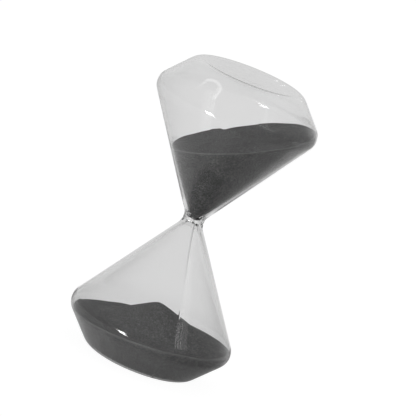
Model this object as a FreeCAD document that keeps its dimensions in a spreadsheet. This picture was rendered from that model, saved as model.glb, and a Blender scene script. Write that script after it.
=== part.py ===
"""Frameless glass hourglass, standing on its lower base.

Frame: millimetres, +Z up along the axis of revolution, origin at the centre of the lower base.
Two blown bulbs are fused to a thick neck with a small metering orifice. Each bulb is a cone that
opens to a rounded rim, then a crown that closes to a slightly dished base. Loose sand lies in both
bulbs: a tilted level surface above, a poured heap below.
"""
import FreeCAD
import Part
import math
import os
import Sketcher

V = FreeCAD.Vector

# ---------------------------------------------------------------- driving dimensions, mm and degrees
DIMENSIONS = [
    # glass, outside; rises and drops are measured from the middle of the neck
    ("neck_height", 84.4), ("throat_half", 5.0), ("throat_radius", 7.7), ("waist_round", 8.2),
    ("upper_rim_radius", 48.0), ("upper_rim_rise", 65.6),
    ("upper_base_radius", 30.7), ("upper_base_rise", 85.1),
    ("lower_rim_radius", 48.3), ("lower_rim_drop", 64.5),
    ("lower_base_radius", 30.2),
    ("rim_round", 7.5), ("base_round", 9.0),
    ("dish_radius", 19.0), ("dish_depth", 0.7), ("dish_sphere", 258.2),
    # glass, inside
    ("throat_bore", 5.2), ("funnel_radius", 2.6), ("funnel_rise", 1.4),
    ("orifice_radius", 0.7), ("orifice_half", 1.2),
    ("rim_wall", 1.25), ("base_wall", 1.3),
    ("inner_rim_round", 6.4), ("inner_base_round", 8.0), ("inner_base_inset", 0.45),
    # flame-sealed filling hole in the lower base
    ("seal_radius", 2.5), ("seal_face_radius", 1.5), ("seal_proud", 0.4),
    # sand
    ("sand_gap", 0.3), ("sand_side_gap", 0.39), ("sand_foot", 1.9), ("sand_foot_radius", 2.4),
    ("level_height", 131.4), ("level_slope", 26.0), ("level_azimuth", 3.9),
    ("heap_level", 18.9), ("heap_level_slope", 3.8), ("heap_level_azimuth", -27.0),
    ("heap_peak", 34.6), ("heap_slope", 27.0), ("heap_lean", 6.5), ("heap_tip_radius", 5.0),
    ("heap_root", 20.0), ("heap_reach", 30.0),
    # half width of the planes that cut the sand, wider than the glass
    ("cut_reach", 60.0),
]

# a cut or an addition that changes a volume by less than this share has missed
LEAST_CHANGE = 0.02

doc = FreeCAD.newDocument("hourglass")
sheet = doc.addObject("Spreadsheet::Sheet", "Sizes")
for row, (alias, value) in enumerate(DIMENSIONS, start=1):
    sheet.set("A%d" % row, alias)
    sheet.set("B%d" % row, str(value))
    sheet.setAlias("B%d" % row, alias)
doc.recompute()


def cell(expression):
    """Prefix every alias in an expression with the sheet's name."""
    words = sorted((name for name, _ in DIMENSIONS), key=len, reverse=True)
    out = ""
    place = 0
    while place < len(expression):
        hit = next((w for w in words if expression.startswith(w, place)), None)
        out += "Sizes." + hit if hit else expression[place]
        place += len(hit) if hit else 1
    return out


def number(expression):
    """Value of an expression over the sheet's cells."""
    return float(sheet.evalExpression(cell(expression)))


def origin_plane(body, role):
    return next(f for f in body.Origin.OriginFeatures if f.Role == role)


def new_body(label):
    body = doc.addObject("PartDesign::Body", label)
    body.Label = label
    return body


def new_sketch(body, name, azimuth=None, lift=None, lean=None):
    """Sketch on the body's XZ plane: sketch x is radius, sketch y is height.

    azimuth turns the sketch about the vertical axis, or lean tips it in its own plane; lift
    raises its origin.
    """
    sketch = body.newObject("Sketcher::SketchObject", name)
    sketch.AttachmentSupport = [(origin_plane(body, "XZ_Plane"), "")]
    sketch.MapMode = "FlatFace"
    axis = V(0, 1, 0) if azimuth else V(0, 0, 1)
    sketch.AttachmentOffset = FreeCAD.Placement(V(), FreeCAD.Rotation(axis, 0))
    if azimuth or lean:
        sketch.setExpression("AttachmentOffset.Rotation.Angle", cell(azimuth or lean))
    if lift:
        sketch.setExpression("AttachmentOffset.Base.y", cell(lift))
    doc.recompute()
    return sketch


def arc(centre, radius, start, end):
    """Anticlockwise arc about a centre."""
    angles = [math.atan2(p.y - centre.y, p.x - centre.x) for p in (start, end)]
    if angles[1] < angles[0]:
        angles[1] += 2 * math.pi
    return Part.ArcOfCircle(Part.Circle(centre, V(0, 0, 1), radius), *angles)


def bowed_side(start, end, radius, turn):
    """Arc from start to end whose centre is on the left for turn +1, on the right for -1."""
    chord = end - start
    left = V(-chord.y, chord.x, 0) / chord.Length * turn
    centre = (start + end) / 2 + left * math.sqrt(radius ** 2 - chord.Length ** 2 / 4)
    return arc(centre, radius, start, end) if turn > 0 else arc(centre, radius, end, start)


def rounding(before, corner, after, radius):
    """Points where a tangent arc of a radius meets the two sides of a corner, its centre, its turn."""
    back = (before - corner).normalize()
    ahead = (after - corner).normalize()
    half = back.getAngle(ahead) / 2
    first = corner + back * (radius / math.tan(half))
    last = corner + ahead * (radius / math.tan(half))
    centre = corner + (back + ahead).normalize() * (radius / math.sin(half))
    turn = 1 if (back * -1).cross(ahead).z > 0 else -1
    return first, last, centre, turn


def pin(sketch, point, place, corner):
    """Hold a point, (geometry, end), at a corner's expressions for x and y."""
    for kind, axis, value, expression in (("DistanceX", -2, place.x, corner[0]),
                                          ("DistanceY", -1, place.y, corner[1])):
        if expression == "0":
            sketch.addConstraint(Sketcher.Constraint("PointOnObject", *point, axis))
            continue
        index = sketch.addConstraint(Sketcher.Constraint(kind, -1, 1, *point, value))
        sketch.setExpression("Constraints[%d]" % index, cell(expression))


def hold_radius(sketch, geometry, expression):
    index = sketch.addConstraint(Sketcher.Constraint("Radius", geometry, number(expression)))
    sketch.setExpression("Constraints[%d]" % index, cell(expression))


def draw(sketch, corners):
    """Closed outline through corners (x, y, option), given as expressions over the sheet.

    The option "round", radius rounds that corner with a tangent arc. The option "bow", radius,
    turn makes the side that leaves the corner an arc, with its centre to the left for turn +1.
    """
    count = len(corners)
    at = [V(number(c[0]), number(c[1]), 0) for c in corners]
    options = [c[2] if len(c) > 2 else ("",) for c in corners]
    rounds = {}
    for i, option in enumerate(options):
        if option[0] == "round":
            rounds[i] = rounding(at[i - 1], at[i], at[(i + 1) % count], number(option[1]))
    # the sides, one per corner, each with its (geometry, end) of start and of finish
    starts, finishes = [], []
    for i, option in enumerate(options):
        after = (i + 1) % count
        start = rounds[i][1] if i in rounds else at[i]
        finish = rounds[after][0] if after in rounds else at[after]
        clockwise = option[0] == "bow" and option[2] < 0
        if option[0] == "bow":
            sketch.addGeometry(bowed_side(start, finish, number(option[1]), option[2]))
            hold_radius(sketch, i, option[1])
        else:
            sketch.addGeometry(Part.LineSegment(start, finish))
        starts.append((i, 2 if clockwise else 1))
        finishes.append((i, 1 if clockwise else 2))
    for i, corner in enumerate(corners):
        if i not in rounds:
            sketch.addConstraint(Sketcher.Constraint("Coincident", *finishes[i - 1], *starts[i]))
            pin(sketch, starts[i], at[i], corner)
            continue
        first, last, centre, turn = rounds[i]
        radius = (first - centre).Length
        ends = (first, last) if turn > 0 else (last, first)
        bend = sketch.addGeometry(arc(centre, radius, *ends))
        into, out_of = ((bend, 1), (bend, 2)) if turn > 0 else ((bend, 2), (bend, 1))
        sketch.addConstraint(Sketcher.Constraint("Tangent", *finishes[i - 1], *into))
        sketch.addConstraint(Sketcher.Constraint("Tangent", *starts[i], *out_of))
        hold_radius(sketch, bend, options[i][1])
        point = sketch.addGeometry(Part.Point(at[i]), True)
        sketch.addConstraint(Sketcher.Constraint("PointOnObject", point, 1, finishes[i - 1][0]))
        sketch.addConstraint(Sketcher.Constraint("PointOnObject", point, 1, i))
        pin(sketch, (point, 1), at[i], corner)
    doc.recompute()
    if sketch.solve() != 0:
        raise RuntimeError(sketch.Name + " can't be solved")


def revolve(body, sketch, name, kind="PartDesign::Revolution"):
    feature = body.newObject(kind, name)
    feature.Profile = sketch
    feature.ReferenceAxis = (sketch, ["V_Axis"])
    feature.Angle = 360
    doc.recompute()
    return feature


def cut_above(body, name, height, slope, azimuth):
    """Remove everything above a plane that crosses the axis at a height."""
    before = body.Tip.Shape.Volume
    sketch = new_sketch(body, name + "_plane", azimuth=azimuth)
    rise = "cut_reach * tan(%s)" % slope
    draw(sketch, [
        ("-cut_reach", "%s - %s" % (height, rise)),
        ("cut_reach", "%s + %s" % (height, rise)),
        ("cut_reach", "%s + 2 * cut_reach" % height),
        ("-cut_reach", "%s + 2 * cut_reach" % height),
    ])
    pocket = body.newObject("PartDesign::Pocket", name)
    pocket.Profile = sketch
    pocket.Midplane = True
    pocket.setExpression("Length", cell("4 * cut_reach"))
    doc.recompute()
    if pocket.Shape.Volume > before * (1 - LEAST_CHANGE):
        raise RuntimeError(name + " cut nothing")
    return pocket


# ---------------------------------------------------------------- corners shared by glass and sand
TOP = "neck_height + upper_base_rise"
UPPER = {
    "rim": ("upper_rim_radius", "neck_height + upper_rim_rise"),
    "base": ("upper_base_radius", TOP),
    "inner_rim": ("upper_rim_radius - rim_wall", "neck_height + upper_rim_rise"),
    "inner_base": ("upper_base_radius - inner_base_inset", TOP + " - base_wall"),
    "throat": "neck_height + throat_half",
}
LOWER = {
    "rim": ("lower_rim_radius", "neck_height - lower_rim_drop"),
    "base": ("lower_base_radius", "0"),
    "inner_rim": ("lower_rim_radius - rim_wall", "neck_height - lower_rim_drop"),
    "inner_base": ("lower_base_radius - inner_base_inset", "base_wall"),
    "throat": "neck_height - throat_half",
}


def rounded(corner, radius):
    return corner + (("round", radius),)


def glass_bulb(label, side, middle):
    """Blown bulb: cone from the throat to the rim, crown to the base, dished base."""
    body = new_body(label)
    sketch = new_sketch(body, label + "_outline")
    outside = [
        ("throat_bore", side["throat"]),
        ("throat_radius", side["throat"]),
        rounded(side["rim"], "rim_round"),
        rounded(side["base"], "base_round"),
    ]
    inside = [
        rounded(side["inner_base"], "inner_base_round"),
        rounded(side["inner_rim"], "inner_rim_round"),
    ]
    draw(sketch, outside + middle + inside)
    revolve(body, sketch, label + "_wall")
    return body


def upper_bulb():
    return glass_bulb("upper_bulb", UPPER, [
        ("dish_radius", TOP, ("bow", "dish_sphere", -1)),
        ("0", TOP + " - dish_depth"),
        ("0", TOP + " - dish_depth - base_wall", ("bow", "dish_sphere", 1)),
        ("dish_radius", TOP + " - base_wall"),
    ])


def lower_bulb():
    return glass_bulb("lower_bulb", LOWER, [
        ("dish_radius", "0", ("bow", "dish_sphere", 1)),
        ("seal_radius", "dish_depth"),
        ("seal_radius", "dish_depth + base_wall", ("bow", "dish_sphere", -1)),
        ("dish_radius", "base_wall"),
    ])


def neck_throat():
    """Thick fused neck: waisted outside, two funnels and the metering orifice inside."""
    body = new_body("neck_throat")
    sketch = new_sketch(body, "neck_outline")
    draw(sketch, [
        ("throat_radius", "neck_height - throat_half", ("bow", "waist_round", -1)),
        ("throat_radius", "neck_height + throat_half"),
        ("throat_bore", "neck_height + throat_half"),
        ("funnel_radius", "neck_height + funnel_rise"),
        ("orifice_radius", "neck_height + orifice_half"),
        ("orifice_radius", "neck_height - orifice_half"),
        ("funnel_radius", "neck_height - funnel_rise"),
        ("throat_bore", "neck_height - throat_half"),
    ])
    revolve(body, sketch, "neck_glass")
    return body


def filling_seal():
    """Melted plug that closes the filling hole, with a small round bead under the dish."""
    body = new_body("filling_seal")
    sketch = new_sketch(body, "seal_outline")
    draw(sketch, [
        ("0", "dish_depth - seal_proud"),
        ("seal_face_radius", "dish_depth - seal_proud"),
        ("seal_radius", "dish_depth"),
        ("seal_radius", "dish_depth + base_wall"),
        ("seal_face_radius", "dish_depth + base_wall + seal_proud"),
        ("0", "dish_depth + base_wall + seal_proud"),
    ])
    revolve(body, sketch, "seal_glass")
    return body


def sand_against(corner, lift):
    """Corner of the sand that faces a corner of the glass, moved in by the gap."""
    return corner[0] + " - sand_side_gap", corner[1] + lift


def upper_sand():
    """Sand left in the upper bulb, with a level surface tilted against the axis."""
    body = new_body("upper_sand")
    sketch = new_sketch(body, "upper_sand_outline")
    foot = "neck_height + sand_foot"
    roof = TOP + " - base_wall - dish_depth - sand_gap"
    draw(sketch, [
        ("0", foot),
        ("sand_foot_radius", foot),
        ("throat_bore - sand_side_gap", UPPER["throat"]),
        rounded(sand_against(UPPER["inner_rim"], ""), "inner_rim_round"),
        sand_against(UPPER["inner_base"], " - dish_depth - sand_gap"),
        ("0", roof),
    ])
    revolve(body, sketch, "upper_sand_fill")
    cut_above(body, "upper_sand_level", "level_height", "level_slope", "level_azimuth")
    return body


def lower_sand():
    """Sand fallen into the lower bulb: a nearly level fill and a poured heap under the orifice."""
    body = new_body("lower_sand")
    sketch = new_sketch(body, "lower_sand_outline")
    draw(sketch, [
        ("0", "base_wall + dish_depth + seal_proud + sand_gap"),
        ("dish_radius", "base_wall + sand_gap"),
        rounded(sand_against(LOWER["inner_base"], " + sand_gap"), "inner_base_round"),
        rounded(sand_against(LOWER["inner_rim"], ""), "inner_rim_round"),
        ("throat_bore - sand_side_gap", LOWER["throat"]),
        ("0", LOWER["throat"]),
    ])
    revolve(body, sketch, "lower_sand_fill")
    cut_above(body, "lower_sand_level", "heap_level", "heap_level_slope", "heap_level_azimuth")
    add_heap(body)
    return body


def add_heap(body):
    """Leaning cone of poured sand with a rounded tip, its foot buried in the fill."""
    before = body.Tip.Shape.Volume
    sketch = new_sketch(body, "heap_outline", lift="heap_peak", lean="heap_lean")
    shoulder = "heap_tip_radius * sin(heap_slope)"
    drop = "heap_tip_radius * (1 - cos(heap_slope))"
    draw(sketch, [
        ("0", "-1 * heap_root"),
        ("heap_reach", "-1 * heap_root"),
        ("heap_reach", "-1 * %s - (heap_reach - %s) * tan(heap_slope)" % (drop, shoulder)),
        (shoulder, "-1 * %s" % drop, ("heap_tip_radius", 1)),
        ("0", "0"),
    ])
    heap = revolve(body, sketch, "heap")
    if heap.Shape.Volume < before * (1 + LEAST_CHANGE):
        raise RuntimeError("the heap added nothing")
    return heap


def check(bodies):
    """Stop if any feature failed or any sub-part is empty or invalid."""
    doc.recompute()
    for item in doc.Objects:
        if "Invalid" in item.State or "Error" in item.State:
            raise RuntimeError("%s failed: %s" % (item.Name, item.State))
    for body in bodies:
        shape = body.Shape
        if shape.isNull() or not shape.isValid() or len(shape.Solids) != 1:
            raise RuntimeError("%s isn't one valid solid" % body.Label)
        box = shape.BoundBox
        print("%-14s volume %9.1f  z %6.2f to %6.2f  radius %5.2f"
              % (body.Label, shape.Volume, box.ZMin, box.ZMax, box.XLength / 2))


bodies = [upper_bulb(), lower_bulb(), neck_throat(), filling_seal(), upper_sand(), lower_sand()]
check(bodies)
os.makedirs("parts", exist_ok=True)
for body in bodies:
    body.Shape.exportStep("parts/%s.step" % body.Label)
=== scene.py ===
"""Looks for the frameless glass hourglass: one clear blown vessel, dark grainy sand, soft studio light."""

import math

import bpy
from mathutils import Matrix, Vector, noise


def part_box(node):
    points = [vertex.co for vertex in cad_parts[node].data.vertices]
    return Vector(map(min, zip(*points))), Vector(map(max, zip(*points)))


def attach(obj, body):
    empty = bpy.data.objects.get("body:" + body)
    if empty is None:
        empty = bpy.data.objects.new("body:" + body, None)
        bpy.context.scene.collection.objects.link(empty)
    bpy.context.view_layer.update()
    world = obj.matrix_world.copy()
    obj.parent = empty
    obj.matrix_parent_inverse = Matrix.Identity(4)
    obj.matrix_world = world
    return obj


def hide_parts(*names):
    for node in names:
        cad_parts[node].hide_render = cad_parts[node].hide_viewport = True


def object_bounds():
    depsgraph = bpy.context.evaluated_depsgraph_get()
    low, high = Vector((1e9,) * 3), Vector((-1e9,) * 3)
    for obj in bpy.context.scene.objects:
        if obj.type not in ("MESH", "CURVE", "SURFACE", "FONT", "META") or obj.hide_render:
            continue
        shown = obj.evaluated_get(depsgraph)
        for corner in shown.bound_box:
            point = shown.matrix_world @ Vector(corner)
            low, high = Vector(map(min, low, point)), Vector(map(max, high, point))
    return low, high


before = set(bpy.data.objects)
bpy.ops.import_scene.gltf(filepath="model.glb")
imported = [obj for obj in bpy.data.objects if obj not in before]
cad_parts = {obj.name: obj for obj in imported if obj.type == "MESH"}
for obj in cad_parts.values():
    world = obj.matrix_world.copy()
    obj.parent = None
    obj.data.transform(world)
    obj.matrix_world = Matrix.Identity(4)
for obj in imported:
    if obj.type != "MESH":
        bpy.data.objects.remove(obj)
cad_low, cad_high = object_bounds()

MM = 0.001

# ------------------------------------------------------------------ glass, in millimetres and degrees
# Height and neck come from the frame. "Distance" is counted along the axis from the neck.
HEIGHT = cad_high.z / MM
THROAT_LOW, THROAT_HIGH = (corner.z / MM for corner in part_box("neck_throat"))
NECK = (THROAT_LOW + THROAT_HIGH) / 2

# corners of each bulb's outline (radius, distance) before rounding
UPPER = {"rim": (48.0, 65.6), "base": (30.7, HEIGHT - NECK)}
LOWER = {"rim": (48.3, 64.5), "base": (30.2, NECK)}
WAIST_VIRTUAL = 4.38            # radius of the sharp corner where the two cones would meet
WAIST_ROUND = 8.0
RIM_ROUND = 7.5
BASE_ROUND = 9.0
DISH_RADIUS = 19.0
DISH_DEPTH = 0.7
DISH_STEPS = 8
ARC_STEP = 4.5                  # degrees between points on a rounded corner
ARC_FEWEST = 3                  # steps on a rounded corner, at least

# walls, and the way through the neck
BASE_WALL = 0.66
CROWN_WALL = 0.6
CONE_WALL = 0.5                 # measured level, away from the neck
CONE_COSINE = 0.83              # turns a wall measured level into one measured square to the cone
NECK_EXTRA_WALL = 2.5           # how much thicker the cone's wall is at the neck
NECK_EXTRA_REACH = 19.0
INNER_RIM_ROUND = 7.32
CONE_DISTANCES = (56, 46, 38, 31, 25, 20, 16, 12.5, 9.5, 7, 5, 3.2)
FUNNEL_RADIUS = 2.6
FUNNEL_RISE = 1.4
ORIFICE_RADIUS = 0.7
ORIFICE_HALF = 1.0
THROAT_ROUNDS = [2.0, 0.5, 0.3]     # at the cone's foot, the funnel's edge and the orifice's mouth

# how finely the glass is divided: rings lie close together in the crinkled neck
ROUND_SEGMENTS = 240
RING_GAP_NECK = 0.40
RING_GAP_GROWTH = 0.14
RING_GAP_MOST = 5.0
TINY = 1e-6
SHORTEST_SIDE = 1e-5

# marks left by the flame: a pinched ring at the neck, and crinkles on both faces of the wall
PLAIN_RADIUS = 40.0             # outside this radius the outer face is smooth
PINCH_DEPTH = 0.22
PINCH_DROP = 0.3
PINCH_HALF = 0.55
PINCH_MEAN = 0.7
PINCH_SWING = 0.5
PINCH_WAVES = 2.0
PINCH_SEED = 5.0
CRINKLE_DEPTH = 0.34
CRINKLE_REACH = 5.0
RIPPLE_REACH = 4.5
COARSE_RIPPLE = (3.4, 1.9, 0.0)     # each ripple: scale round the neck, pitch along it, seed
FINE_RIPPLE = (6.5, 1.1, 4.0)
FINE_SHARE = 0.7
INNER_RIPPLE = (2.9, 1.9, 9.0)
INNER_CRINKLE_DEPTH = 0.45
INNER_CRINKLE_RADIUS = 3.0      # inside this radius the inner crinkles fade
INNER_PLAIN_RADIUS = 0.5

# long crease down the lower cone
CREASE_AZIMUTH = -67.0
CREASE_DEPTH = 0.60
CREASE_WIDTH = 0.32
CREASE_NECK_RADIUS = 4.0        # where the crease has its full depth
CREASE_FADE = 34.0
CREASE_END_FADE = 14.0
CREASE_SWING = 10.0             # how far small rings are turned, so that the crease swings aside
CREASE_SWING_FADE = 26.0
CREASE_SPAN = 5.0               # half the arc that is divided more finely
CREASE_STEPS = 16
CREASE_STEP_POWER = 1.5

# ------------------------------------------------------------------ sand, in millimetres and degrees
SAND_GAP = 0.078
SAND_SMALLEST_RADIUS = 0.05
SAND_RINGS = 90
SAND_SIDE_ROWS = 60
SAND_SEGMENTS = 384
SEARCH_RADIUS = 60.0            # beyond any wall
SEARCH_HALVINGS = 40

# waves in the surface of the sand: height, size in plan, seed
LUMPS = (0.14, 0.8, 41.0)
UPPER_WAVES = (0.35, 14.0, 3.0)
LOWER_WAVES = (0.45, 13.0, 11.0)
HEAP_WAVES = (0.5, 9.0, 23.0)

UPPER_LEVEL = 131.4
UPPER_TILT = 26.0
UPPER_TILT_AZIMUTH = 3.9
UPPER_LOW_END = NECK - 1.0
LOWER_LEVEL = 18.9
LOWER_TILT = 3.8
LOWER_TILT_AZIMUTH = -27.0
LOWER_LOW_END = 2.2
HEAP_TOP = 34.4
HEAP_SLOPE = 27.0
HEAP_LEAN = 6.5                 # how much gentler the heap is towards +X, and steeper away from it
HEAP_TIP = 2.3                  # size of the heap's rounded tip
HEAP_BLEND = 2.2                # how softly the heap runs into the fill

# painted highlight on the brink, a pale line where the surface of the sand meets the glass in place of
# light caught at its edge: share, reach
UPPER_BRINK_HIGHLIGHT = (0.95, 0.55)
LOWER_BRINK_HIGHLIGHT = (0.50, 0.9)

# ------------------------------------------------------------------ materials
GLASS_TONE = 0.99
GLASS_INDEX = 1.47
GLASS_PASS = 0.93               # share of lamp light and diffuse light that each face lets through

GRAIN_SIZE = 0.5 * MM
SAND_TONE = 0.079
DARK_GRAIN = 0.64               # tones of the grains, as shares of SAND_TONE
LIGHT_GRAIN = 1.16
SPECK_GRAIN = 2.1
SPECK_START = 0.80              # four grains in five lie between dark and light
PATCH_SIZE = 7 * MM
PATCH_DETAIL = 4
PATCH_LOW = 0.3
PATCH_HIGH = 0.7
PATCH_SWING = 0.14
# pale colour of the painted highlight along the brink of the sand
BRINK_HIGHLIGHT_COLOUR = (0.21, 0.21, 0.208, 1)
SAND_ROUGHNESS = 0.85
SAND_SPECULAR = 0.2
SAND_BUMP = 0.4
SAND_BUMP_DEPTH = 0.15 * MM

# ------------------------------------------------------------------ studio, in metres
# +X is to the right of the object and +Y behind it, as the camera sees it.
FLOOR_SIZE = 30.0
FLOOR_DROP = 0.00005            # keeps the floor off the base
FLOOR_SEEN_TONE = 0.15          # what the camera sees of the floor: nearly white
FLOOR_SEEN_GLOW = 0.95
FLOOR_TONE = 0.8                # what glass and sand see of it: matte grey with a glow
FLOOR_FRONT_FULL = 0.05         # the front part of the floor fades out between these two Y
FLOOR_FRONT_END = 0.13
FLOOR_TURN_START = -0.02        # left turns into right between these two X
FLOOR_TURN_END = 0.06
FLOOR_RIGHT_SHADE = 0.38
FLOOR_LEFT_GLOW = 0.10
FLOOR_GLOW = 0.36
FLOOR_DIM = 0.10
WEDGE_SPREAD = 0.3              # half width that the glowing wedge gains per metre behind the object
WEDGE_EDGE = 0.10
FOOT_INNER = 0.045              # the shade at the foot fades out between these two radii
FOOT_OUTER = 0.10
FOOT_SHADE = 0.55
FOOT_GLOW_INNER = 0.05          # the glow grows from its least to full between these two radii
FOOT_GLOW_OUTER = 0.20
FOOT_GLOW_LEAST = 0.35

# the room's glow is a sum of smooth steps: axis of the direction, from, to, glow at from, glow at to
ROOM_STEPS = (
    ("Y", 0.6, 0.95, 0.0, 0.36),        # the wall behind the object
    ("Y", -0.95, -0.4, 0.12, 0.0),      # the wall behind the camera
    ("Z", 0.2, 0.9, 0.0, 0.16),         # the ceiling
    ("X", -0.6, 0.8, 0.48, 0.42),       # from left to right
)

TARGET = Vector((4.97, 0.0, NECK + 8.88)) * MM
CAMERA_DISTANCE = 2.0
CAMERA_RISE = math.radians(12.01)
CAMERA_ROLL = math.radians(21.77)
CAMERA_LENS = 319.7             # lens and sensor are in millimetres
CAMERA_SENSOR = 36.0
CAMERA_FAR = 100.0

# box lamps: name, side and rise in degrees, (width, height), glow
BOX_DISTANCE = 1.5
BOX_LAMPS = (
    ("key_box", -33.0, 0.0, (0.30, 0.7), 19.0),
    ("side_panel", 63.5, 25.0, (0.20, 0.7), 0.4),
    ("side_strip_0", 52.0, 25.0, (0.028, 0.7), 1.8),
    ("side_strip_1", 55.0, 25.0, (0.028, 0.7), 1.8),
    ("side_strip_2", 58.5, 25.0, (0.028, 0.7), 1.8),
)

# tube lamps overhead: name, start and end as (to the right, towards the camera)
TUBE_WIDTH = 0.018
TUBE_GLOW = 1.6
CROWN_POINT = Vector((-17.0, -36.0, NECK + 74.0)) * MM      # the spot on the upper crown that mirrors them
TUBE_LAMPS = (
    ("top_tube", (-0.324, 0.023), (-0.045, 0.400)),
    ("top_short_tube", (-0.50, 0.475), (-0.24, 0.325)),
)


# ------------------------------------------------------------------ outlines
def rounded(corners, radii):
    """Points along a run of (radius, height) corners; each inner corner gets its own tangent arc."""
    points = [Vector(corners[0])]
    for i, radius in enumerate(radii, start=1):
        before, corner, after = (Vector(c) for c in corners[i - 1:i + 2])
        if not radius:
            points.append(corner)
            continue
        back = (before - corner).normalized()
        ahead = (after - corner).normalized()
        half = back.angle(ahead) / 2
        first = corner + back * (radius / math.tan(half))
        centre = corner + (back + ahead).normalized() * (radius / math.sin(half))
        start = first - centre
        turn = (math.pi - 2 * half) * (1 if back.cross(ahead) < 0 else -1)
        steps = max(ARC_FEWEST, round(abs(math.degrees(turn)) / ARC_STEP))
        for k in range(steps + 1):
            spin = Matrix.Rotation(turn * k / steps, 2)
            points.append(centre + spin @ start)
    points.append(Vector(corners[-1]))
    return points


def ring_gap(height):
    """Longest side of the outline at a height: short in the crinkled neck, long on the plain cones."""
    return min(RING_GAP_MOST, RING_GAP_NECK + RING_GAP_GROWTH * abs(height - NECK))


def spaced(points):
    """The same run with long sides divided as ring_gap asks, and without repeated points."""
    out = [points[0]]
    for a, b in zip(points, points[1:]):
        done = 0.0
        length = (b - a).length
        while length - done > TINY:
            left = length - done
            pieces = max(1, math.ceil(left / ring_gap(a.lerp(b, done / length).y)))
            done += left / pieces
            out.append(a.lerp(b, min(1.0, done / length)))
    return [p for i, p in enumerate(out) if i == 0 or (p - out[i - 1]).length > SHORTEST_SIDE]


def dish(edge):
    """Points of the shallow dish in a base, from the axis to just short of its edge (radius, distance)."""
    shares = [1 - k / DISH_STEPS for k in range(DISH_STEPS, 0, -1)]
    return [Vector((edge[0] * share, edge[1] - DISH_DEPTH * (1 - share ** 2))) for share in shares]


def bulb_outside(side):
    """Outer outline from the base's centre to the waist's middle, as (radius, distance)."""
    base, rim = side["base"], side["rim"]
    run = [(DISH_RADIUS, base[1]), base, rim, (WAIST_VIRTUAL, 0.0), (rim[0], -rim[1])]
    points = rounded(run, [BASE_ROUND, RIM_ROUND, WAIST_ROUND])
    points = [p for p in points[:-1] if p.y >= -TINY]
    return dish(points[0]) + points


def inset(before, corner, after, wall_before, wall_after):
    """A corner of the outline moved inwards, so that each side lies its own wall thickness in."""
    into = [((b - a).normalized().y, -(b - a).normalized().x)
            for a, b in ((Vector(before), Vector(corner)), (Vector(corner), Vector(after)))]
    shift = Matrix(into).inverted() @ Vector((wall_before, wall_after))
    return tuple(Vector(corner) + shift)


def inner_cone(side, distance):
    """Inner radius of a bulb's cone: its wall grows thicker towards the neck."""
    rim = side["rim"]
    outside = WAIST_VIRTUAL + (rim[0] - WAIST_VIRTUAL) * distance / rim[1]
    return outside - CONE_WALL - NECK_EXTRA_WALL * math.exp(-distance / NECK_EXTRA_REACH)


def bulb_inside(side):
    """Inner outline from the base's centre to the orifice's middle, as (radius, distance)."""
    base, rim = side["base"], side["rim"]
    inner_base = inset((DISH_RADIUS, base[1]), base, rim, BASE_WALL, CROWN_WALL)
    rim_distance = inset(base, rim, (WAIST_VIRTUAL, 0.0), CROWN_WALL, CONE_WALL * CONE_COSINE)[1]
    cone = [(inner_cone(side, distance), distance) for distance in (rim_distance, *CONE_DISTANCES)]
    throat = [(FUNNEL_RADIUS, FUNNEL_RISE), (ORIFICE_RADIUS, ORIFICE_HALF), (ORIFICE_RADIUS, 0.0)]
    run = [(DISH_RADIUS, inner_base[1]), inner_base, *cone, *throat]
    unrounded = [0] * (len(CONE_DISTANCES) - 1)
    points = rounded(run, [BASE_ROUND - BASE_WALL, INNER_RIM_ROUND, *unrounded, *THROAT_ROUNDS])
    return dish(points[0]) + points


def both_bulbs(half):
    """Whole outline as (radius, height), from the lower base's centre to the upper one's."""
    lower = [Vector((p.x, NECK - p.y)) for p in half(LOWER)]
    upper = [Vector((p.x, NECK + p.y)) for p in half(UPPER)]
    return lower + list(reversed(upper))[1:]


def radius_at(outline, height):
    """Largest radius of an outline at a height."""
    best = 0.0
    for a, b in zip(outline, outline[1:]):
        low, high = sorted((a.y, b.y))
        if low <= height <= high and high > low:
            best = max(best, a.x + (b.x - a.x) * (height - a.y) / (b.y - a.y))
    return best


# ------------------------------------------------------------------ glass
def new_object(name, vertices, faces):
    """Smooth mesh object from vertices in millimetres."""
    mesh = bpy.data.meshes.new(name)
    mesh.from_pydata([Vector(v) * MM for v in vertices], [], faces)
    mesh.validate()
    mesh.update()
    for polygon in mesh.polygons:
        polygon.use_smooth = True
    thing = bpy.data.objects.new(name, mesh)
    bpy.context.scene.collection.objects.link(thing)
    return thing


def steps_around():
    """Angles around the axis: even steps, with finer ones across the crease."""
    middle = CREASE_AZIMUTH % 360
    even = [360.0 * k / ROUND_SEGMENTS for k in range(ROUND_SEGMENTS)]
    apart = [angle for angle in even if abs(angle - middle) > CREASE_SPAN]
    shares = [(k / CREASE_STEPS) ** CREASE_STEP_POWER for k in range(1, CREASE_STEPS + 1)]
    fine = [middle] + [middle + side * CREASE_SPAN * share for side in (-1, 1) for share in shares]
    return [math.radians(angle) for angle in sorted(apart + fine)]


def lathe(outline, angles, wobble, inward):
    """Closed surface of revolution from a run that starts and ends on the axis.

    wobble(radius, angle, height) moves each ring's point out by that much. Small rings are turned a
    little, so that the crease swings aside near the neck. inward turns the faces to look at the
    axis, as the wall of a hollow does.
    """
    rings = outline[1:-1]
    segments = len(angles)
    vertices = [(0, 0, outline[0].y)]
    for point in rings:
        swing = math.radians(CREASE_SWING) * math.exp(-point.x / CREASE_SWING_FADE)
        for angle in angles:
            radius = point.x + wobble(point.x, angle, point.y)
            turned = angle - swing
            vertices.append((radius * math.cos(turned), radius * math.sin(turned), point.y))
    vertices.append((0, 0, outline[-1].y))
    last = len(vertices) - 1
    faces = []
    for k in range(segments):
        after = (k + 1) % segments
        faces.append((0, 1 + after, 1 + k))
        faces.append((last, last - segments + k, last - segments + after))
        for i in range(len(rings) - 1):
            a, b = 1 + i * segments, 1 + (i + 1) * segments
            faces.append((a + k, a + after, b + after, b + k))
    if inward:
        faces = [tuple(reversed(f)) for f in faces]
    return vertices, faces


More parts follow.
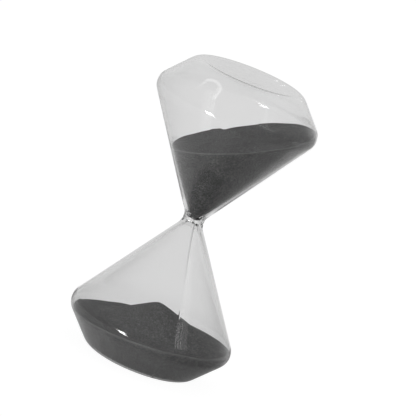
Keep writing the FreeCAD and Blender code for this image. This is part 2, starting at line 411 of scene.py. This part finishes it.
def neck_ripple(angle, height, scale, pitch, seed):
    """Irregular waves, -1 to 1, that fade out away from the neck."""
    fade = math.exp(-((height - NECK) / RIPPLE_REACH) ** 2)
    place = Vector((math.cos(angle) * scale, math.sin(angle) * scale, height / pitch + seed))
    return fade * noise.noise(place)


def pinch_depth(angle, height):
    """Depth of the uneven ring pinched into the neck."""
    around = Vector((math.cos(angle) * PINCH_WAVES, math.sin(angle) * PINCH_WAVES, PINCH_SEED))
    uneven = PINCH_MEAN + PINCH_SWING * noise.noise(around)
    return PINCH_DEPTH * uneven * math.exp(-((height - NECK + PINCH_DROP) / PINCH_HALF) ** 2)


def crinkle_depth(angle, height):
    """Depth of the crinkles on the outside of the neck."""
    ripple = neck_ripple(angle, height, *COARSE_RIPPLE)
    ripple += FINE_SHARE * neck_ripple(angle, height, *FINE_RIPPLE)
    fade = math.exp(-((height - NECK) / CRINKLE_REACH) ** 2)
    return CRINKLE_DEPTH * (0.5 + 0.5 * ripple) * fade


def crease_depth(radius, angle, height):
    """Depth of the long crease on the lower cone: deepest at the neck, and run out before the rim."""
    if height >= NECK:
        return 0.0
    aside = (math.degrees(angle) - CREASE_AZIMUTH + 180.0) % 360.0 - 180.0
    arc = radius * math.radians(aside)
    fade = math.exp(-(radius - CREASE_NECK_RADIUS) / CREASE_FADE)
    end = min(1.0, (PLAIN_RADIUS - radius) / CREASE_END_FADE)
    return CREASE_DEPTH * fade * end * math.exp(-(arc / CREASE_WIDTH) ** 2)


def outer_wobble(radius, angle, height):
    """Pinched ring, crinkles and crease as a move out from the outline, nearly always less than 0."""
    if radius > PLAIN_RADIUS:
        return 0.0
    return -pinch_depth(angle, height) - crinkle_depth(angle, height) - crease_depth(radius, angle, height)


def inner_wobble(radius, angle, height):
    """Crinkles on the inside of the thick neck."""
    if radius < INNER_PLAIN_RADIUS:
        return 0.0
    share = min(1.0, radius / INNER_CRINKLE_RADIUS)
    return INNER_CRINKLE_DEPTH * share * neck_ripple(angle, height, *INNER_RIPPLE)


def glass_vessel():
    """Both bulbs, the neck and the seal as one continuous piece of glass, hollow inside."""
    angles = steps_around()
    vertices, faces = lathe(spaced(both_bulbs(bulb_outside)), angles, outer_wobble, False)
    hollow_vertices, hollow_faces = lathe(spaced(both_bulbs(bulb_inside)), angles, inner_wobble, True)
    shift = len(vertices)
    faces += [tuple(v + shift for v in f) for f in hollow_faces]
    return new_object("glass_vessel", vertices + hollow_vertices, faces)


# ------------------------------------------------------------------ sand
def waves(x, y, height, size, seed):
    """Irregular waves over the plan."""
    return height * noise.noise(Vector((x / size, y / size, seed)))


def tilted(x, y, slope, azimuth):
    """Rise of a plane that slopes up towards an azimuth."""
    turn = math.radians(azimuth)
    return math.tan(math.radians(slope)) * (x * math.cos(turn) + y * math.sin(turn))


def upper_surface(x, y):
    """Height of the upper sand: level sand seen in a leaning glass."""
    return UPPER_LEVEL + tilted(x, y, UPPER_TILT, UPPER_TILT_AZIMUTH) + waves(x, y, *UPPER_WAVES)


def lower_surface(x, y):
    """Height of the lower sand: a nearly level fill with a poured heap that leans."""
    fill = LOWER_LEVEL + tilted(x, y, LOWER_TILT, LOWER_TILT_AZIMUTH) + waves(x, y, *LOWER_WAVES)
    slope = math.tan(math.radians(HEAP_SLOPE - HEAP_LEAN * math.cos(math.atan2(y, x))))
    heap = HEAP_TOP - slope * (math.hypot(x, y, HEAP_TIP) - HEAP_TIP) + waves(x, y, *HEAP_WAVES)
    top = max(fill, heap)
    return top + HEAP_BLEND * math.log(sum(math.exp((part - top) / HEAP_BLEND) for part in (fill, heap)))


def brink_point(surface, wall, angle):
    """Point where a surface meets the wall, in one direction from the axis."""
    low, high = 0.0, SEARCH_RADIUS
    for _ in range(SEARCH_HALVINGS):
        middle = (low + high) / 2
        height = surface(middle * math.cos(angle), middle * math.sin(angle))
        if middle < wall(height):
            low = middle
        else:
            high = middle
    x, y = low * math.cos(angle), low * math.sin(angle)
    return x, y, surface(x, y)


def sand_charge(name, surface, outline, low_end, brink_highlight):
    """Closed body of sand: a lumpy surface on top, its sides a hair inside the glass, down to low_end.

    The last argument is (share, reach): how pale the painted highlight on the brink is, and how many
    millimetres it spreads from the brink. A float point attribute carries this painted highlight to the
    material.
    """
    def wall(height):
        return max(SAND_SMALLEST_RADIUS, radius_at(outline, height) - SAND_GAP)

    angles = [2 * math.pi * k / SAND_SEGMENTS for k in range(SAND_SEGMENTS)]
    brinks = [brink_point(surface, wall, angle) for angle in angles]
    vertices = [(0, 0, surface(0, 0))]
    for i in range(1, SAND_RINGS + 1):
        for brink in brinks:
            x, y = brink[0] * i / SAND_RINGS, brink[1] * i / SAND_RINGS
            lump = waves(x, y, *LUMPS) if i < SAND_RINGS else 0.0
            vertices.append((x, y, surface(x, y) + lump))
    for j in range(1, SAND_SIDE_ROWS + 1):
        share = 0.5 - 0.5 * math.cos(math.pi * j / SAND_SIDE_ROWS)
        for angle, brink in zip(angles, brinks):
            height = brink[2] + (low_end - brink[2]) * share
            radius = wall(height)
            vertices.append((radius * math.cos(angle), radius * math.sin(angle), height))
    vertices.append((0, 0, low_end))
    last = len(vertices) - 1
    faces = []
    for k in range(SAND_SEGMENTS):
        after = (k + 1) % SAND_SEGMENTS
        faces.append((0, 1 + k, 1 + after))
        for i in range(SAND_RINGS + SAND_SIDE_ROWS - 1):
            a, b = 1 + i * SAND_SEGMENTS, 1 + (i + 1) * SAND_SEGMENTS
            faces.append((a + k, b + k, b + after, a + after))
        faces.append((last, last - SAND_SEGMENTS + after, last - SAND_SEGMENTS + k))
    charge = new_object(name, vertices, faces)
    share, reach = brink_highlight
    attribute = charge.data.attributes.new("painted_highlight_at_brink", "FLOAT", "POINT")
    for i, vertex in enumerate(vertices):
        away = (Vector(vertex) - Vector(brinks[(i - 1) % SAND_SEGMENTS])).length
        # painted highlight: paler where the sand's edge meets the glass, fading with distance from the
        # brink
        attribute.data[i].value = share * math.exp(-(away / reach) ** 2)
    return charge


# ------------------------------------------------------------------ materials
def node_material(name):
    """New material with an empty node tree."""
    material = bpy.data.materials.new(name)
    material.use_nodes = True
    tree = material.node_tree
    tree.nodes.clear()
    return material, tree


def grey(tone):
    """Colour of one tone for a socket."""
    return tone, tone, tone, 1


def math_node(tree, operation, *values):
    """A Math node on sockets or plain numbers; returns its output."""
    node = tree.nodes.new("ShaderNodeMath")
    node.operation = operation
    for slot, value in zip(node.inputs, values):
        if isinstance(value, (int, float)):
            slot.default_value = value
        else:
            tree.links.new(value, slot)
    return node.outputs[0]


def smooth_step(tree, value, low, high, at_low, at_high):
    """A smooth ramp of a socket's value; returns its output."""
    node = tree.nodes.new("ShaderNodeMapRange")
    node.interpolation_type = "SMOOTHSTEP"
    for name, number in (("From Min", low), ("From Max", high), ("To Min", at_low), ("To Max", at_high)):
        node.inputs[name].default_value = number
    tree.links.new(value, node.inputs["Value"])
    return node.outputs[0]


def glass_material():
    """Clear blown glass; lamps and diffuse light pass straight through it to the sand."""
    material, tree = node_material("clear_glass")
    new, link = tree.nodes.new, tree.links.new
    output = new("ShaderNodeOutputMaterial")
    glass = new("ShaderNodeBsdfGlass")
    glass.inputs["Color"].default_value = grey(GLASS_TONE)
    glass.inputs["Roughness"].default_value = 0.0
    glass.inputs["IOR"].default_value = GLASS_INDEX
    clear = new("ShaderNodeBsdfTransparent")
    clear.inputs["Color"].default_value = grey(GLASS_PASS)
    path = new("ShaderNodeLightPath")
    below = glass
    for kind in ("Is Shadow Ray", "Is Diffuse Ray"):
        mix = new("ShaderNodeMixShader")
        link(path.outputs[kind], mix.inputs[0])
        link(below.outputs[0], mix.inputs[1])
        link(clear.outputs[0], mix.inputs[2])
        below = mix
    link(below.outputs[0], output.inputs["Surface"])
    return material


def grain_tones(tree, grains):
    """Tone of each grain from its random colour: mostly dark to light, with a few pale specks."""
    split = tree.nodes.new("ShaderNodeSeparateColor")
    ramp = tree.nodes.new("ShaderNodeValToRGB")
    stops = ramp.color_ramp.elements
    stops[0].position = 0.0
    stops[0].color = grey(SAND_TONE * DARK_GRAIN)
    stops[1].position = SPECK_START
    stops[1].color = grey(SAND_TONE * LIGHT_GRAIN)
    speck = stops.new(1.0)
    speck.color = grey(SAND_TONE * SPECK_GRAIN)
    tree.links.new(grains.outputs["Color"], split.inputs[0])
    tree.links.new(split.outputs[0], ramp.inputs[0])
    return ramp.outputs[0]


def patch_tones(tree, place):
    """Slow drift of tone over the sand, as a factor round 1."""
    patches = tree.nodes.new("ShaderNodeTexNoise")
    patches.inputs["Scale"].default_value = 1 / PATCH_SIZE
    patches.inputs["Detail"].default_value = PATCH_DETAIL
    drift = tree.nodes.new("ShaderNodeMapRange")
    drift.inputs["From Min"].default_value = PATCH_LOW
    drift.inputs["From Max"].default_value = PATCH_HIGH
    drift.inputs["To Min"].default_value = 1 - PATCH_SWING
    drift.inputs["To Max"].default_value = 1 + PATCH_SWING
    tree.links.new(place, patches.inputs["Vector"])
    tree.links.new(patches.outputs[0], drift.inputs["Value"])
    return drift.outputs[0]


def sand_material():
    """Fine dark mineral grains with paler specks, and a painted highlight: a pale line where sand meets
    glass.
    """
    material, tree = node_material("dark_sand")
    new, link = tree.nodes.new, tree.links.new
    output = new("ShaderNodeOutputMaterial")
    shader = new("ShaderNodeBsdfPrincipled")
    shader.inputs["Roughness"].default_value = SAND_ROUGHNESS
    shader.inputs["Specular IOR Level"].default_value = SAND_SPECULAR
    place = new("ShaderNodeTexCoord").outputs["Object"]
    grains = new("ShaderNodeTexVoronoi")
    grains.inputs["Scale"].default_value = 1 / GRAIN_SIZE
    blend = new("ShaderNodeMix")
    blend.data_type = "RGBA"
    blend.blend_type = "MULTIPLY"
    blend.inputs["Factor"].default_value = 1.0
    # painted highlight along the brink, read from the point attribute
    brink_highlight = new("ShaderNodeAttribute")
    brink_highlight.attribute_name = "painted_highlight_at_brink"
    pale = new("ShaderNodeMix")
    pale.data_type = "RGBA"
    pale.inputs["B"].default_value = BRINK_HIGHLIGHT_COLOUR
    bump = new("ShaderNodeBump")
    bump.inputs["Strength"].default_value = SAND_BUMP
    bump.inputs["Distance"].default_value = SAND_BUMP_DEPTH
    link(place, grains.inputs["Vector"])
    link(grain_tones(tree, grains), blend.inputs["A"])
    link(patch_tones(tree, place), blend.inputs["B"])
    link(brink_highlight.outputs["Fac"], pale.inputs["Factor"])
    link(blend.outputs["Result"], pale.inputs["A"])
    link(pale.outputs["Result"], shader.inputs["Base Color"])
    link(grains.outputs["Distance"], bump.inputs["Height"])
    link(bump.outputs[0], shader.inputs["Normal"])
    link(shader.outputs[0], output.inputs["Surface"])
    return material


# ------------------------------------------------------------------ stage
def floor_shades(tree):
    """The floor as glass and sand see it: sockets for its matte tone and for its glow.

    The tone is darker to the front right and at the foot. The glow is full in a wedge that widens
    behind the object and dim beside it, with a little more to the front left of the foot.
    """
    new, link = tree.nodes.new, tree.links.new
    place = new("ShaderNodeTexCoord")
    split = new("ShaderNodeSeparateXYZ")
    away = new("ShaderNodeVectorMath")
    away.operation = "LENGTH"
    link(place.outputs["Object"], split.inputs[0])
    link(place.outputs["Object"], away.inputs[0])
    x, y, distance = split.outputs["X"], split.outputs["Y"], away.outputs["Value"]

    front = smooth_step(tree, y, FLOOR_FRONT_FULL, FLOOR_FRONT_END, 1.0, 0.0)
    right = smooth_step(tree, x, FLOOR_TURN_START, FLOOR_TURN_END, 0.0, 1.0)
    front_right = math_node(tree, "MULTIPLY", front, right)
    front_left = math_node(tree, "SUBTRACT", front, front_right)
    near_foot = smooth_step(tree, distance, FOOT_INNER, FOOT_OUTER, 1.0, 0.0)
    dimmed = math_node(tree, "MULTIPLY_ADD", front_right, -FLOOR_RIGHT_SHADE, 1.0)
    shaded = math_node(tree, "MULTIPLY_ADD", near_foot, -FOOT_SHADE, 1.0)
    tone = math_node(tree, "MULTIPLY", math_node(tree, "MULTIPLY", dimmed, shaded), FLOOR_TONE)

    half_width = math_node(tree, "MULTIPLY", y, WEDGE_SPREAD)
    outside = math_node(tree, "SUBTRACT", math_node(tree, "ABSOLUTE", x), half_width)
    wedge = smooth_step(tree, outside, 0.0, WEDGE_EDGE, 1.0, 0.0)
    off_foot = smooth_step(tree, distance, FOOT_GLOW_INNER, FOOT_GLOW_OUTER, FOOT_GLOW_LEAST, 1.0)
    lit = math_node(tree, "MULTIPLY", wedge, off_foot)
    glow = math_node(tree, "MULTIPLY_ADD", lit, FLOOR_GLOW - FLOOR_DIM, FLOOR_DIM)
    glow = math_node(tree, "MULTIPLY", glow, dimmed)
    left_of_foot = math_node(tree, "MULTIPLY", front_left, near_foot)
    return tone, math_node(tree, "MULTIPLY_ADD", left_of_foot, FLOOR_LEFT_GLOW, glow)


def glowing_matte(tree):
    """A matte surface that also glows: its matte node, its glow node and their sum."""
    matte = tree.nodes.new("ShaderNodeBsdfDiffuse")
    glow = tree.nodes.new("ShaderNodeEmission")
    both = tree.nodes.new("ShaderNodeAddShader")
    tree.links.new(matte.outputs[0], both.inputs[0])
    tree.links.new(glow.outputs[0], both.inputs[1])
    return matte, glow, both


def split_by_camera(tree, seen, unseen, output):
    """Shows one shader to the camera and another to every other ray."""
    path = tree.nodes.new("ShaderNodeLightPath")
    mix = tree.nodes.new("ShaderNodeMixShader")
    tree.links.new(path.outputs["Is Camera Ray"], mix.inputs[0])
    tree.links.new(unseen.outputs[0], mix.inputs[1])
    tree.links.new(seen.outputs[0], mix.inputs[2])
    tree.links.new(mix.outputs[0], output.inputs["Surface"])


def white_floor():
    """Bright matte floor under the base: white to the eye, studio grey in the glass."""
    bpy.ops.mesh.primitive_plane_add(size=FLOOR_SIZE, location=(0, 0, -FLOOR_DROP))
    floor = bpy.context.object
    floor.name = "studio_floor"
    material, tree = node_material("studio_white")
    matte, glow, unseen = glowing_matte(tree)
    tone, strength = floor_shades(tree)
    tree.links.new(tone, matte.inputs["Color"])
    tree.links.new(strength, glow.inputs["Strength"])
    faint, bright, seen = glowing_matte(tree)
    faint.inputs["Color"].default_value = grey(FLOOR_SEEN_TONE)
    bright.inputs["Strength"].default_value = FLOOR_SEEN_GLOW
    split_by_camera(tree, seen, unseen, tree.nodes.new("ShaderNodeOutputMaterial"))
    floor.data.materials.append(material)


def studio_world():
    """White to the eye; a soft grey studio for light, reflections and what is seen through glass."""
    world = bpy.data.worlds.new("studio")
    bpy.context.scene.world = world
    world.use_nodes = True
    tree = world.node_tree
    tree.nodes.clear()
    white = tree.nodes.new("ShaderNodeBackground")
    white.inputs["Strength"].default_value = 1.0
    room = tree.nodes.new("ShaderNodeBackground")
    place = tree.nodes.new("ShaderNodeTexCoord")
    split = tree.nodes.new("ShaderNodeSeparateXYZ")
    tree.links.new(place.outputs["Generated"], split.inputs[0])
    strength = 0.0
    for axis, *step in ROOM_STEPS:
        strength = math_node(tree, "ADD", strength, smooth_step(tree, split.outputs[axis], *step))
    tree.links.new(strength, room.inputs["Strength"])
    split_by_camera(tree, white, room, tree.nodes.new("ShaderNodeOutputWorld"))


def placed(place, across, above, back):
    """Matrix of a camera or lamp at a place, facing away from back."""
    return Matrix.Translation(place) @ Matrix((across, above, back)).transposed().to_4x4()


def camera_axes():
    """The camera's right, up and forward directions."""
    forward = Vector((0, math.cos(CAMERA_RISE), -math.sin(CAMERA_RISE)))
    right = Vector((1, 0, 0))
    up = right.cross(forward)
    c, s = math.cos(CAMERA_ROLL), math.sin(CAMERA_ROLL)
    return c * right + s * up, -s * right + c * up, forward


def studio_camera():
    """Long lens, a little above the object and rolled to one side."""
    right, up, forward = camera_axes()
    data = bpy.data.cameras.new("camera")
    camera = bpy.data.objects.new("camera", data)
    bpy.context.scene.collection.objects.link(camera)
    data.lens = CAMERA_LENS
    data.sensor_width = CAMERA_SENSOR
    data.clip_end = CAMERA_FAR
    camera.matrix_world = placed(TARGET - forward * CAMERA_DISTANCE, right, up, -forward)
    bpy.context.scene.camera = camera


def area_lamp(name, size, glow, matrix):
    """Rectangular lamp; glow is how bright its face looks, with white at 1."""
    data = bpy.data.lights.new(name, "AREA")
    data.shape = "RECTANGLE"
    data.size, data.size_y = size
    data.energy = glow * math.pi * size[0] * size[1]
    lamp = bpy.data.objects.new(name, data)
    bpy.context.scene.collection.objects.link(lamp)
    lamp.matrix_world = matrix


def box_lamp(name, side, rise, size, glow):
    """Area lamp at camera angles side (right +) and rise (up +) in degrees, seen from the object."""
    right, up, forward = camera_axes()
    a, e = math.radians(side), math.radians(rise)
    back = right * math.sin(a) * math.cos(e) + up * math.sin(e) - forward * math.cos(a) * math.cos(e)
    across = up.cross(back).normalized()
    area_lamp(name, size, glow, placed(TARGET + back * BOX_DISTANCE, across, back.cross(across), back))


def tube_lamp(name, start, end):
    """Straight strip lamp overhead, 1 m up the image from the crown that mirrors it.

    start and end are metres (to the right, towards the camera) in the image's own axes.
    """
    right, up, forward = camera_axes()
    first, last = (up + right * x - forward * z for x, z in (start, end))
    along = (last - first).normalized()
    middle = (first + last) / 2
    back = (middle - along * middle.dot(along)).normalized()
    size = ((last - first).length, TUBE_WIDTH)
    area_lamp(name, size, TUBE_GLOW, placed(CROWN_POINT + middle, along, back.cross(along), back))


# ------------------------------------------------------------------ build
studio_camera()
studio_world()
white_floor()
for box in BOX_LAMPS:
    box_lamp(*box)
for tube in TUBE_LAMPS:
    tube_lamp(*tube)

glass = glass_material()
sand = sand_material()

vessel = glass_vessel()
vessel.data.materials.append(glass)
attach(vessel, "vessel")
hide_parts("upper_bulb", "lower_bulb", "neck_throat", "filling_seal")

inside = both_bulbs(bulb_inside)
upper_wall = [p for p in inside if p.y > NECK]
lower_wall = [p for p in inside if p.y < NECK]
# the last argument of each charge is its painted highlight along the brink
upper = sand_charge("sand_in_upper_bulb", upper_surface, upper_wall, UPPER_LOW_END, UPPER_BRINK_HIGHLIGHT)
lower = sand_charge("sand_in_lower_bulb", lower_surface, lower_wall, LOWER_LOW_END, LOWER_BRINK_HIGHLIGHT)
for piece, body in ((upper, "upper_sand"), (lower, "lower_sand")):
    piece.data.materials.append(sand)
    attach(piece, body)
    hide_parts(body)

# enough bounces for rays to cross both double walls, and no caustics
scene = bpy.context.scene
scene.view_settings.view_transform = "Standard"
scene.cycles.caustics_refractive = False
scene.cycles.caustics_reflective = False
scene.cycles.max_bounces = 24
scene.cycles.transmission_bounces = 24
scene.cycles.glossy_bounces = 8
scene.cycles.transparent_max_bounces = 16
